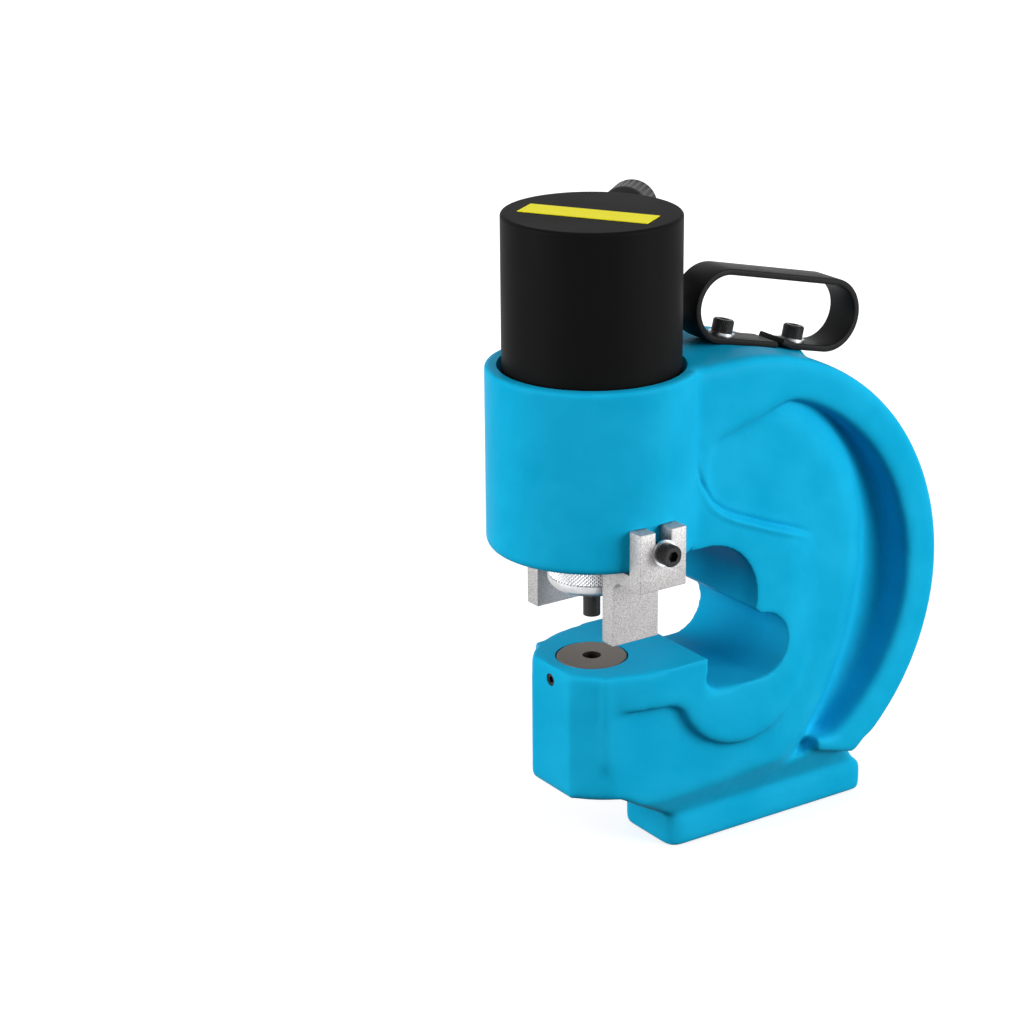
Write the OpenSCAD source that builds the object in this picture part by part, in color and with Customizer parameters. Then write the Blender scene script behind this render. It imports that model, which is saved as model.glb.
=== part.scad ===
/* Portable hydraulic hole punch: a cast C frame with a single-acting
   cylinder set into it. The ram pushes a round punch into a die. */

/* [Frame] */
// Width of the cast frame across its flanks
frame_w = 92; // [84:1:110]
// Thickness of the web between the two pockets
web_t = 40; // [30:1:50]
// Outer radius of the upper part of the curved back
back_r = 161; // [150:1:185]
// Outer radius of the lower part of the curved back
back_low_r = 148; // [136:1:160]
// Width of the rim that borders the back
rim_w = 26; // [18:1:32]
// Radius on the outer edges of the casting
edge_r = 5; // [2:0.5:8]
// Radius in the corner between rim and web
root_r = 9; // [4:1:12]
// Height of the die's top face above the floor
die_top_z = 132.6; // [125:0.1:150]
// Height of the underside of the nose
nose_z = 50.4; // [50:0.1:60]
// Distance from the ram axis to the flat on the nose
nose_front = 30.5; // [28:0.1:36]
// Radius of the two arcs that form the nose, seen from above
nose_r = 62; // [58:1:72]

/* [Throat] */
// Radius of the upper lobe of the throat
throat_r = 39; // [34:1:44]
// Radius of the lower lobe of the throat
lobe_r = 21.5; // [18:0.5:24]
// Length of the jaw's top face behind the ram axis
jaw_len = 54; // [48:1:60]
// Depth of the step from the jaw's top down to the throat floor
step_h = 23; // [16:1:27]

/* [Foot] */
// Width of the foot
foot_w = 54; // [44:1:70]
// Length of the foot
foot_len = 156.6; // [130:0.1:180]
// Thickness of the foot
foot_h = 20; // [14:0.5:24]
// Distance from the ram axis to the front of the foot
foot_y = 42; // [36:1:52]
// Corner radius of the foot
foot_r = 8; // [5:1:14]
// Height at which the frame starts to taper in to the foot
taper_z = 49.6; // [40:0.1:50]

/* [Cylinder] */
// Outer diameter of the cylinder
cyl_d = 106; // [100:1:126]
// Thickness of the cast barrel round the cylinder
barrel_wall = 10.1; // [8:0.1:14]
// Height of the barrel's underside
barrel_z = 206.6; // [200:0.1:214]
// Height of the barrel's rim
barrel_top = 316.8; // [290:0.1:330]
// Thickness of the barrel's floor
barrel_floor = 15; // [10:1:20]
// Bore of the cylinder
bore_d = 80; // [70:1:86]
// Height of the cylinder's top face
cyl_top = 407.2; // [390:0.1:420]
// Thickness of the cylinder's closed end
head_t = 28; // [24:1:32]
// Radius on the cylinder's top edge
cyl_edge_r = 2; // [1:0.5:4]
// Height of the piston
piston_h = 34; // [30:1:40]
// Diameter of the ram
ram_d = 50; // [42:1:56]
// Height of the bronze bush that guides the ram
bush_h = 28; // [20:1:32]
// Wire diameter of the return spring
spring_wire = 7; // [5:0.5:8]
// Turns of the return spring
spring_turns = 6; // [5:1:7]

/* [Punch and die] */
// Diameter of the punch
punch_d = 10.5; // [6:0.5:14]
// Height of the punch's cutting end at rest
punch_z = 159.4; // [155:0.1:164]
// Diameter of the die
die_d = 43.4; // [36:0.2:52]
// Height of the die
die_h = 22; // [16:1:26]
// Difference in diameter between the die's hole and the punch
die_gap = 0.8; // [0.3:0.1:1.4]
// Diameter of the slug hole below the die
slug_d = 26; // [18:1:30]
// Diameter of the nut that holds the punch
nut_d = 53.6; // [50:0.2:58]
// Height of the nut that holds the punch
nut_h = 26; // [22:1:28]
// Height of the nut's underside at rest
nut_z = 178.6; // [174:0.1:182]
// Thread diameter of the nut and of the ram's end
nut_thread_d = 40; // [34:1:44]

/* [Strippers] */
// Thickness of the stripper's walls
strip_t = 11; // [8:0.5:13]
// Length of the stripper along the frame
strip_len = 33; // [28:1:34]
// Distance from the ram axis to the stripper's inner face
strip_x = 34; // [31:1:38]
// Height of the stripper's lower edge
strip_z = 156.6; // [150:0.1:162]
// Height of the top of the stripper's two prongs
prong_z = 233.6; // [228:0.1:238]
// Width of the slot between the prongs
slot_w = 11; // [9:0.5:13]
// Height of the stripper's screw
strip_screw_z = 220.6; // [218:0.1:223]

/* [Handle] */
// Width of the handle strap
strap_w = 24; // [18:1:30]
// Thickness of the handle strap
strap_t = 4; // [3:0.5:6]
// Outer radius of the strap's two bends
strap_r = 23; // [18:1:28]
// Distance between the centres of the two bends
strap_pitch = 83; // [76:1:100]
// Distance between the two handle screws
strap_screws = 56; // [46:1:62]
// Slope of the handle
strap_tilt = 12.8; // [8:0.5:16]

/* [Fasteners] */
// Thread diameter of the screws
screw_d = 8; // [6:1:10]
// Diameter of the screws' heads
head_d = 13; // [10:0.5:16]
// Height of the screws' heads
head_h = 8; // [6:0.5:10]
// Width across the flats of the screws' sockets
socket_af = 6; // [5:1:8]
// Diameter of the plain washers
washer_d = 16; // [14:1:20]
// Thickness of the plain washers
washer_t = 1.6; // [1:0.2:2.4]

/* [Coupler] */
// Direction of the oil inlet, seen from above
inlet_angle = 130; // [110:1:150]
// Height of the oil inlet
inlet_z = 389.6; // [387:0.1:392]
// Diameter of the inlet thread
inlet_d = 17; // [13:0.5:18]
// Diameter of the dust cap
cap_d = 31; // [26:1:34]
// Length of the dust cap
cap_len = 22; // [18:1:24]

/* [Label] */
// Length of the plain label
label_len = 80; // [60:1:96]
// Width of the plain label
label_w = 20; // [14:1:30]

/* [Hidden] */
$fn = 64;
eps = 0.01;
// running clearance of a shaft in its hole, on the radius
run_c = 0.05;
// gap between rough parts that don't touch
free_c = 0.3;
// gap between flat faces that slide on each other
slide_c = 0.05;
// how far arcs bite into what they blend with, so that they meet in a clean edge
bite = 0.2;
// one run of the rim lies this much inside the next, where the two overlap
lap = 0.05;

half_w = frame_w / 2;
web_x = web_t / 2;
cyl_r = cyl_d / 2;
barrel_r = cyl_r + barrel_wall;
bore_r = bore_d / 2;
ram_r = ram_d / 2;
nut_r = nut_d / 2;

// centre of the upper arc of the back, as [y, z] from the ram axis
frame_top = barrel_top - 0.5;
back_c = [77.6, frame_top - back_r];
// direction in which the two arcs of the back meet
join_a = 12.3;
back_low_c = back_c + (back_r - back_low_r) * [cos(join_a), sin(join_a)];
// lowest direction to which the rim is swept
rim_end_a = -62;
// direction in which the back runs out onto the foot
back_end_a = -54;
// the drawing's zero is on the ram axis; the part's is under its middle
origin_y = (back_low_c[0] + back_low_r - barrel_r) / 2;

throat_c = [52, 165.6];
lobe_c = [95, die_top_z - step_h + lobe_r];
throat_floor = die_top_z - step_h;
neck_y = 40;

// the raised collar round the throat, with the strip along the jaw
collar_c = [84, 119.6];
collar_r = 50;
strip_low = 107.6;
collar_top = [[63, 223.6], [136, 192.6]];
// radius of the two arcs of an S that falls by this much over this length
function fall_r(drop, len) = len / (2 * sin(2 * atan((drop + 2 * bite) / len)));
// the web is nearly flat by the throat, this far from the middle plane
dome_x = half_w - 4;
// the collar fades into it in an S
fade_y = 108;
fade_len = 40;
fade_end = fade_y + fade_len;
// and it falls in an S to the groove along the rim, from this arc, with a wider one below it
dome_c = [60, 180];
dome_r = 100;
dome_low_r = 186;
dome_low_c = dome_c - [dome_low_r - dome_r, 0];
dome_fall = 48;
// flank beside the barrel, between the collar and the shoulder
cheek = [[35, 215], [68, 221], [58, 231], [53, 244], [53, 257], [59, 273], [35, 276]];

nose_y = 20;
nose_edge_r = edge_r + 1;
// the lower pocket: where it starts and how deep it is there
pocket_y = -17;
pocket_x = half_w - 8;
pocket_flat_y = 50;
pocket_back_y = 112;
back_y = 175;

// the flanks narrow in two slopes to the foot, which change here, as [x, z]
waist = [40, 46.6];
foot_lip = 3.5;
pedestal_y = -2;
// run of the pedestal's front slope for each unit of height
front_k = (foot_y + foot_lip - pedestal_y) / (taper_z - foot_h);

// lower edge of the flank above the upper pocket, and its blend to the rim
shoulder_low = [56, 269.6];
shoulder_end = [117, 285.6];
shoulder_r = 22;
shoulder_u = (shoulder_end - shoulder_low) / norm(shoulder_end - shoulder_low);
shoulder_n = [shoulder_u[1], -shoulder_u[0]];
blend_r = back_r - rim_w - shoulder_r + bite;
blend_b = shoulder_low + (shoulder_r - bite) * shoulder_n - back_c;
blend_d = blend_b * shoulder_u;
blend_t = sqrt(blend_d * blend_d - blend_b * blend_b + blend_r * blend_r) - blend_d;
blend_c = back_c + blend_b + blend_t * shoulder_u;

barrel_edge_r = 5;
rim_edge_r = 1.5;
flat_x = barrel_r - 2.3;
ram_hole_r = ram_r + 6;

cyl_z = barrel_z + barrel_floor;
chamber_z = cyl_top - head_t;
piston_z = chamber_z - 1 - piston_h;
groove_d = 4;
wear_z = 8;
wear_h = 6;
seal_z = 22;
seal_h = 5;
tail_r = ram_r - 5;
tail_h = 18;
bush_top = cyl_z + bush_h;
wiper_r = ram_r + 4;
wiper_h = 6;

spring_gap = 0.2;
ring_sides = 6;
ring_count = 8;
// a turn has straight sides, so their middles come nearest to the ram
spring_r = max((bore_r + ram_r) / 2, (ram_r + spring_gap) / cos(180 / ring_count) + spring_wire / 2);

nut_floor = 6;
nut_round = 7;
flange_h = 7;
flange_d = 2 * punch_d;
ram_z = nut_z + nut_floor + flange_h;
shoulder_z = nut_z + nut_h;

die_z = die_top_z - die_h;
relief_h = 17;
relief_d = punch_d + die_gap + 4;
set_z = die_top_z - 9;
set_len = 8;
set_af = 4;

shelf_top = barrel_z - free_c;
shelf_z = barrel_z - 9;
rib_w = 4;
fork_x = flat_x + slide_c;
washer_x = fork_x + strip_t + slide_c;
strip_screw_len = 18;

// middle of the handle's loop, as [y, z]
strap_c = [130.7, 330.2];
screw_u = [-32, strap_screws - 32];
boss_d = 18;
boss_h = 20;
handle_screw_len = 20;
// where the strap's two ends stop, and the slope of the raised one
strap_end = -1;
strap_rise_u = 8;
strap_rise_len = 15;
strap_rise_a = 18;

inlet_depth = 20;
oil_d = 6;
hex_r = 12 / cos(30);
hex_len = 12;
inlet_out = cyl_r + 0.5;
coupler_x = inlet_out + hex_len;
nipple_r = 10;
nipple_len = 30;
seat_r = 3.5;
seat_len = 6;
ball_r = 4.5;
ball_s = nipple_len - seat_len - sqrt(ball_r * ball_r - seat_r * seat_r) - 0.1;
coil_r = 3.6;
coil_wire = 0.8;
coil_turns = 4;
cap_wall = 3;
cap_s = nipple_len + free_c + cap_wall - cap_len;
label_t = 0.4;

// moves a child from the ram axis to the part's own origin
module place() translate([0, -origin_y, 0]) children();

// draws a [y, z] outline and gives it a width along x
module across(w) rotate([90, 0, 90]) linear_extrude(w, center = true) children();

// draws an [x, z] outline and runs it along y from y0 to y1
module along(y0, y1) translate([0, y1, 0]) rotate([90, 0, 0]) linear_extrude(y1 - y0) children();

// turns a section about an axis along x; the section's x is the radius
module sweep_x(c, a0, a1) {
  translate([0, c[0], c[1]]) rotate([0, 90, 0]) rotate([0, 0, a0 + 90])
    rotate_extrude(angle = a1 - a0) children();
}

// puts a child made along z at the handle's slope, with its origin in the loop's middle
module at_handle() translate([0, strap_c[0], strap_c[1]]) rotate([-strap_tilt, 0, 0]) children();

// puts a child made along z at the inlet, pointing outwards
module at_inlet(d) {
  rotate([0, 0, inlet_angle]) translate([d, 0, inlet_z]) rotate([0, 90, 0]) children();
}

// a child and its mirror image on the other flank
module both_sides() for (s = [0, 1]) mirror([s, 0, 0]) children();

// rectangle with all four corners rounded, from p to q
module round_box_2d(p, q, r) {
  for (x = [p[0] + r, q[0] - r], y = [p[1] + r, q[1] - r])
    translate([x, y]) circle(r);
  translate([p[0] + r, p[1]]) square([q[0] - p[0] - 2 * r, q[1] - p[1]]);
  translate([p[0], p[1] + r]) square([q[0] - p[0], q[1] - p[1] - 2 * r]);
}

// concave fillet of radius r in the corner at the origin
module fillet_2d(r) difference() {
  translate([-2, -2]) square(r + 2);
  translate([r - bite, r - bite]) circle(r);
}

// cross-section of the rim, drawn d smaller all round: its x is the radius
module rim_section(r, d) {
  inner = r - rim_w + d;
  round_box_2d([inner, d - half_w], [r - d, half_w - d], edge_r);
  for (s = [0, 1]) mirror([0, s]) translate([inner, web_x]) mirror([1, 0]) fillet_2d(root_r);
}

module rim() {
  sweep_x(back_low_c, rim_end_a, join_a + 1.5) rim_section(back_low_r, lap);
  sweep_x(back_c, join_a, 90) rim_section(back_r, 0);
  // straight run from the arc to the barrel
  translate([0, back_c[0] + 3, back_c[1]]) rotate([90, 0, 0]) rotate([0, 0, 90])
    linear_extrude(back_c[0] + 3 - barrel_r / 2) rim_section(back_r, lap);
}

// flank above the upper pocket, blended into the rim with one arc
module shoulder() across(frame_w) {
  polygon([[barrel_r / 2, frame_top - edge_r], [shoulder_end[0] + 1, frame_top - 2 * edge_r],
    shoulder_end, shoulder_low, [barrel_r / 2, shoulder_low[1] - 4]]);
  difference() {
    polygon([blend_c - shoulder_r * shoulder_n, shoulder_end + [1, 3],
      blend_c + (shoulder_r + 1) * (blend_c - back_c) / blend_r, blend_c]);
    translate(blend_c) circle(shoulder_r);
  }
}

// half of a section that stays high up to a start, then falls in an S of two arcs
module fall_2d(start, len, high, low, d) {
  r = fall_r(high - low, len);
  square([start, high - d]);
  intersection() {
    translate([start, high + bite - d - r]) circle(r);
    translate([start, 0]) square([len / 2, high]);
  }
  difference() {
    translate([start + len / 2, 0]) square([len / 2, (high + low) / 2 - d]);
    translate([start + len, low - bite - d + r]) circle(r);
  }
}

// the web turned about an axis along x, d thinner on each side, between two heights
module dome(c, r, d, z0, z1) intersection() {
  translate([0, c[0], c[1]]) rotate([0, 90, 0]) rotate_extrude() for (s = [0, 1]) mirror([0, s]) {
    fall_2d(r, dome_fall, dome_x, web_x, d);
    translate([r + dome_fall - eps, 0]) square([30, web_x - d]);
  }
  translate([-half_w, pocket_y - 1, z0]) cube([frame_w, 300, z1 - z0]);
}

// side view of all of the web, down to the foot
module web_2d() {
  intersection() {
    translate(back_low_c) circle(back_low_r - rim_w / 2);
    translate([pocket_y, taper_z]) square([250, frame_top - taper_z]);
  }
  translate([nose_y, throat_c[1]]) square([back_c[0], frame_top - throat_c[1] - rim_w]);
  intersection() {
    translate(back_c) circle(back_r - rim_w / 2);
    translate([neck_y - 10, throat_c[1]]) square([190, frame_top - throat_c[1]]);
  }
  polygon([[pedestal_y - (nose_z - taper_z) * front_k, nose_z], [pedestal_y, taper_z], [nose_y, taper_z],
    [nose_y, nose_z + 5]]);
  pedestal_2d();
}

module web() intersection() {
  union() {
    dome(dome_c, dome_r, 0, dome_c[1], frame_top);
    dome(dome_low_c, dome_low_r, lap, 0, dome_c[1] + 2);
  }
  across(frame_w) web_2d();
  union() {
    linear_extrude(die_top_z) pocket_plan();
    translate([-half_w, 0, die_top_z - eps]) cube([frame_w, 250, frame_top]);
  }
}

// outline of the raised collar round the throat, with the strip along the jaw
module collar_2d() {
  translate(collar_c) circle(collar_r);
  polygon([[pocket_y - 3, strip_low + 3], [nose_y, strip_low], [neck_y - 10, strip_low - 1],
    [neck_y - 4, strip_low - 5], collar_c, [collar_c[0] + collar_r, collar_c[1]],
    [fade_end, 152], [fade_end, 183], collar_top[1], collar_top[0], [neck_y, collar_top[0][1] + 10],
    [neck_y, die_top_z], [pocket_y - 3, die_top_z]]);
  polygon(cheek);
}

// right half of the collar's plan: full width at the throat, then the S
module fade_half() intersection() {
  mirror([1, -1]) fall_2d(fade_y, fade_len, half_w, dome_x, 0);
  translate([0, neck_y - 10]) square([half_w, 250]);
}

module collar() intersection() {
  across(frame_w) collar_2d();
  linear_extrude(frame_top) both_sides() fade_half();
}

// plan of the floor of the lower pocket, which rises towards the back
module pocket_plan() both_sides()
  polygon([[0, -50], [pocket_x, -50], [pocket_x, pocket_flat_y], [dome_x, pocket_back_y],
    [dome_x, back_y + 80], [0, back_y + 80]]);

// section of the jaw's skirt: the x of the drawing points outwards
module skirt_2d(w) {
  r = nose_edge_r;
  translate([0, nose_z + r]) square([w, die_top_z - nose_z - r]);
  translate([0, nose_z]) square([w - r, r + eps]);
  translate([w - r, nose_z + r]) circle(r);
}

// lower jaw with its nose, whose plan is a lens with a flat on the tip
module jaw_blank() {
  intersection() {
    translate([nose_r - half_w, nose_y, 0]) rotate_extrude() skirt_2d(nose_r);
    translate([half_w - nose_r, nose_y, 0]) rotate_extrude() skirt_2d(nose_r);
    across(frame_w) translate([nose_y, 0]) mirror([1, 0]) skirt_2d(nose_y + nose_front);
  }
  along(nose_y, jaw_len) both_sides() skirt_2d(half_w);
}

module jaw() intersection() {
  jaw_blank();
  union() {
    across(frame_w) {
      translate([-nose_front, 0]) square([nose_front + pocket_y, die_top_z]);
      collar_2d();
    }
    linear_extrude(die_top_z) pocket_plan();
  }
}

// side view of the block between the frame's flanks and the foot
module pedestal_2d() polygon([[pedestal_y, taper_z + eps], [back_y - 15, taper_z + eps],
  back_low_c + (back_low_r - 3) * [cos(back_end_a), sin(back_end_a)],
  [foot_y + foot_len - foot_lip, foot_h - eps], [foot_y + foot_lip, foot_h - eps]]);

// the rim's lower end, from the groove back
module rim_foot() across(frame_w) difference() {
  pedestal_2d();
  translate(back_low_c) circle(back_low_r - rim_w);
  translate([pedestal_y - 5, 0]) square([back_low_c[0] - pedestal_y, taper_z + 5]);
}

// outline that narrows the frame's lower end to the width of the foot
module narrowed() along(-barrel_r - 50, back_y + 100) both_sides()
  polygon([[0, foot_h - 2 * eps], [foot_w / 2 - foot_lip, foot_h - 2 * eps], waist, [half_w, taper_z],
    [half_w + 1, taper_z], [half_w + 1, cyl_top], [0, cyl_top]]);

module foot() linear_extrude(foot_h)
  round_box_2d([-foot_w / 2, foot_y], [foot_w / 2, foot_y + foot_len], foot_r);

module barrel() rotate_extrude() {
  r = barrel_edge_r;
  e = rim_edge_r;
  translate([0, barrel_z]) square([barrel_r - r, r + eps]);
  translate([barrel_r - r, barrel_z + r]) circle(r);
  translate([0, barrel_z + r]) square([barrel_r, barrel_top - barrel_z - r - e]);
  translate([0, barrel_top - e - eps]) square([barrel_r - e, e + eps]);
  translate([barrel_r - e, barrel_top - e]) circle(e);
}

// cast bosses that carry the handle's screws
module handle_bosses() at_handle() for (u = screw_u)
  translate([0, u, -strap_r - boss_h]) cylinder(h = boss_h, d = boss_d);

// flat milled in the rim's crown, so that the strap touches its bosses only
module strap_seat() at_handle() translate([-strap_w / 2 - 2, -60, -strap_r - free_c])
  cube([strap_w + 4, 80, 20]);

// side view of the throat: two lobes, the step behind the jaw and the mouth
module throat_2d() {
  r = step_h / 2;
  intersection() {
    translate(throat_c) circle(throat_r);
    translate([0, die_top_z]) square([200, 200]);
  }
  translate(lobe_c) circle(lobe_r);
  translate([-100, die_top_z]) square([100 + neck_y, barrel_z - die_top_z]);
  translate([0, die_top_z]) square([throat_c[0], throat_c[1] + throat_r - die_top_z]);
  translate([jaw_len + r, throat_floor + r]) circle(r);
  translate([jaw_len, throat_floor + r]) square([r, throat_c[1] - throat_floor - r]);
  translate([jaw_len + r, throat_floor]) square([lobe_c[0] - jaw_len - r, step_h + 2]);
  polygon([[jaw_len, die_top_z], throat_c, throat_c + (throat_r - 1) * [cos(12), -sin(12)],
    lobe_c + [0, lobe_r], lobe_c]);
}

module frame_screw_holes() {
  // threaded holes for the stripper screws
  both_sides() translate([cyl_r + 1.5, 0, strip_screw_z]) rotate([0, 90, 0]) cylinder(h = 20, d = screw_d);
  at_handle() for (u = screw_u) translate([0, u, 2 - strap_r - boss_h]) cylinder(h = boss_h, d = screw_d);
  // threaded hole for the grub screw that holds the die
  translate([0, 0, set_z]) rotate([90, 0, 0]) cylinder(h = nose_front + 1, d = screw_d);
}

module frame() color("deepskyblue") place() difference() {
  union() {
    intersection() {
      difference() {
        union() {
          rim();
          shoulder();
          web();
          collar();
          jaw();
          rim_foot();
        }
        across(2 * frame_w) throat_2d();
        strap_seat();
      }
      narrowed();
    }
    foot();
    barrel();
    handle_bosses();
  }
  // seat of the cylinder, with a chamfered mouth, and the ram's hole
  translate([0, 0, cyl_z]) cylinder(h = frame_top, r = cyl_r + run_c);
  translate([0, 0, barrel_top - 6]) cylinder(h = 10, r1 = cyl_r + run_c, r2 = cyl_r + 5);
  translate([0, 0, barrel_z - 1]) cylinder(h = barrel_floor + 2, r = ram_hole_r);
  // milled flats for the strippers
  both_sides() translate([flat_x, -strip_len / 2 - free_c, barrel_z - 1])
    cube([barrel_r, strip_len + 2 * free_c, prong_z - barrel_z + 1.5]);
  // die seat and slug hole
  translate([0, 0, die_z]) cylinder(h = 2 * die_h, d = die_d + 2 * run_c);
  translate([0, 0, nose_z - 20]) cylinder(h = die_z - nose_z + 21, d = slug_d);
  frame_screw_holes();
}

module die() color("dimgray") place() difference() {
  rotate_extrude() polygon([[0, die_z], [die_d / 2 - 1, die_z], [die_d / 2, die_z + 1],
    [die_d / 2, die_top_z - 0.8], [die_d / 2 - 0.8, die_top_z], [0, die_top_z]]);
  translate([0, 0, die_z - 1]) cylinder(h = die_h + 2, d = punch_d + die_gap);
  // wider relief below the cutting land
  translate([0, 0, die_z - 1]) cylinder(h = relief_h, d = relief_d);
}

// socket screw that lies along z, with its head above the origin
module socket_screw(len) difference() {
  union() {
    translate([0, 0, -len]) cylinder(h = len, d = screw_d - 2 * run_c);
    rotate_extrude() polygon([[0, 0], [head_d / 2, 0], [head_d / 2, head_h - 0.8],
      [head_d / 2 - 0.8, head_h], [0, head_h]]);
  }
  translate([0, 0, head_h / 2]) cylinder(h = head_h, d = socket_af / cos(30), $fn = 6);
}

module washer() difference() {
  cylinder(h = washer_t, d = washer_d);
  translate([0, 0, -1]) cylinder(h = washer_t + 2, d = screw_d + 0.4);
}

module die_set_screw() color("black") place()
  translate([0, -die_d / 2 - 2 * run_c, set_z]) rotate([90, 0, 0]) difference() {
    cylinder(h = set_len, d = screw_d - 2 * run_c);
    translate([0, 0, set_len / 2]) cylinder(h = set_len, d = set_af / cos(30), $fn = 6);
  }

module cylinder_body() color([0.12, 0.12, 0.12]) place() difference() {
  rotate_extrude() {
    translate([0, cyl_z]) square([cyl_r, cyl_top - cyl_z - cyl_edge_r]);
    translate([0, cyl_z]) square([cyl_r - cyl_edge_r, cyl_top - cyl_z]);
    translate([cyl_r - cyl_edge_r, cyl_top - cyl_edge_r]) circle(cyl_edge_r);
  }
  translate([0, 0, cyl_z - 1]) cylinder(h = chamber_z - cyl_z + 1, d = bore_d);
  // oil inlet: a threaded hole from the side and a drilling down to the chamber
  at_inlet(cyl_r - inlet_depth) cylinder(h = 2 * inlet_depth, d = inlet_d);
  rotate([0, 0, inlet_angle]) translate([cyl_r - inlet_depth + 3, 0, chamber_z - 1])
    cylinder(h = inlet_z - chamber_z + 1, d = oil_d - 1);
}

module ram_bush() color("goldenrod") place() translate([0, 0, cyl_z]) difference() {
  cylinder(h = bush_h, r = bore_r - run_c);
  translate([0, 0, -1]) cylinder(h = bush_h + 2, r = ram_r + run_c);
  // seat of the wiper
  translate([0, 0, -1]) cylinder(h = wiper_h + 1, r = wiper_r);
}

module ram_wiper() color("black") place() translate([0, 0, cyl_z + spring_gap]) difference() {
  cylinder(h = wiper_h - 2 * spring_gap, r = wiper_r - run_c);
  translate([0, 0, -1]) cylinder(h = wiper_h + 2, r = ram_r + 2 * run_c);
  translate([0, 0, -eps]) cylinder(h = 2, r1 = ram_r + 2.4, r2 = ram_r);
}

// ring-shaped groove in the piston's wall
module groove(z, h) translate([0, 0, piston_z + z]) difference() {
  cylinder(h = h, r = bore_r + 1);
  translate([0, 0, -1]) cylinder(h = h + 2, r = bore_r - groove_d);
}

module piston() color("silver") place() difference() {
  translate([0, 0, piston_z]) cylinder(h = piston_h, r = bore_r - run_c);
  groove(wear_z, wear_h);
  groove(seal_z, seal_h);
  translate([0, 0, piston_z - 1]) cylinder(h = tail_h + 1, r = tail_r + run_c);
}

// ring that lies in a groove
module groove_ring(z, h) place() translate([0, 0, piston_z + z + 2 * run_c]) difference() {
  cylinder(h = h - 4 * run_c, r = bore_r - run_c);
  translate([0, 0, -1]) cylinder(h = h + 2, r = bore_r - groove_d + run_c);
}

module piston_seal() color("darkred") groove_ring(seal_z, seal_h);

module wear_ring() color("peru") groove_ring(wear_z, wear_h);

module ram() color("silver") place() {
  translate([0, 0, shoulder_z]) cylinder(h = piston_z - shoulder_z, r = ram_r);
  translate([0, 0, piston_z - eps]) cylinder(h = tail_h, r = tail_r);
  translate([0, 0, ram_z]) cylinder(h = shoulder_z - ram_z + eps, d = nut_thread_d - 2 * run_c);
}

// points of one ring of a wire at the angle a along a helix
function ring_at(r, z, a, wire) = [for (i = [0:ring_sides - 1])
  let (w = i * 360 / ring_sides, q = r + wire / 2 * cos(w)) [q * cos(a), q * sin(a), z + wire / 2 * sin(w)]];

// round wire wound into a helix as one unbroken tube, with its ends cut square
module helix(r, z0, z1, turns, wire, name) {
  n = ring_sides;
  rings = turns * ring_count + 1;
  pts = [for (k = [0:rings - 1])
    each ring_at(r, z0 + (z1 - z0) * k / (rings - 1), k * 360 / ring_count, wire)];
  faces = concat([[for (i = [0:n - 1]) i]], [[for (i = [n - 1:-1:0]) (rings - 1) * n + i]],
    [for (k = [0:rings - 2], i = [0:n - 1]) let (a = k * n + i, b = k * n + (i + 1) % n)
      each [[a, a + n, b], [b, a + n, b + n]]]);
  echo(str("least gap of the ", name, " to itself, in mm"), (z1 - z0) / turns - wire);
  polyhedron(pts, faces);
}

module return_spring() color("slategray") place()
  helix(spring_r, bush_top + spring_wire / 2 + spring_gap, piston_z - spring_wire / 2 - spring_gap,
    spring_turns, spring_wire, "return spring");

module punch() color([0.15, 0.15, 0.15]) place() {
  translate([0, 0, punch_z]) cylinder(h = ram_z - punch_z, d = punch_d);
  translate([0, 0, ram_z - flange_h]) cylinder(h = flange_h, d = flange_d);
}

module punch_nut() color("gainsboro") place() difference() {
  rotate_extrude() {
    translate([0, nut_z]) square([nut_r - nut_round, nut_h]);
    translate([0, nut_z + nut_round]) square([nut_r, nut_h - nut_round - 1]);
    translate([0, nut_z + nut_round]) square([nut_r - 1, nut_h - nut_round]);
    intersection() {
      translate([nut_r - nut_round, nut_z + nut_round]) circle(nut_round);
      translate([0, nut_z]) square([nut_r, nut_round + 1]);
    }
  }
  translate([0, 0, nut_z - 1]) cylinder(h = nut_h, d = punch_d + 2);
  translate([0, 0, nut_z - eps]) cylinder(h = 1, r1 = punch_d / 2 + 2, r2 = punch_d / 2 + 1);
  translate([0, 0, nut_z + nut_floor]) cylinder(h = nut_h, d = nut_thread_d);
}

// right-hand stripper: a fork on the barrel's flat, a shelf below it and a plate
module stripper() place() difference() {
  along(-strip_len / 2, strip_len / 2) polygon([[fork_x, prong_z], [fork_x + strip_t, prong_z],
    [fork_x + strip_t, shelf_z], [strip_x + strip_t + rib_w, shelf_z], [strip_x + strip_t, shelf_z - rib_w],
    [strip_x + strip_t, strip_z], [strip_x, strip_z], [strip_x, shelf_top], [fork_x, shelf_top]]);
  translate([fork_x - 1, 0, strip_screw_z]) rotate([0, 90, 0]) cylinder(h = strip_t + 2, d = slot_w);
  translate([fork_x - 1, -slot_w / 2, strip_screw_z]) cube([strip_t + 2, slot_w, prong_z]);
}

module stripper_right() color("lightgray") stripper();

module stripper_left() color("lightgray") mirror([1, 0, 0]) stripper();

module stripper_washers() color("silver") place() both_sides()
  translate([washer_x, 0, strip_screw_z]) rotate([0, 90, 0]) washer();

module stripper_screws() color("black") place() both_sides()
  translate([washer_x + washer_t, 0, strip_screw_z]) rotate([0, 90, 0]) socket_screw(strip_screw_len);

// half ring that forms one of the strap's bends; s is 1 for the rear one
module strap_bend(s) translate([0, s * strap_pitch / 2, 0]) rotate([90, 0, 90])
  linear_extrude(strap_w, center = true) difference() {
    circle(strap_r);
    circle(strap_r - strap_t);
    translate([s > 0 ? -2 * strap_r : 0, -strap_r - 1]) square([2 * strap_r, 2 * strap_r + 2]);
  }

// flat run of the strap from u0 to u1
module strap_run(u0, u1, v) translate([-strap_w / 2, u0, v]) cube([strap_w, u1 - u0, strap_t]);

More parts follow.
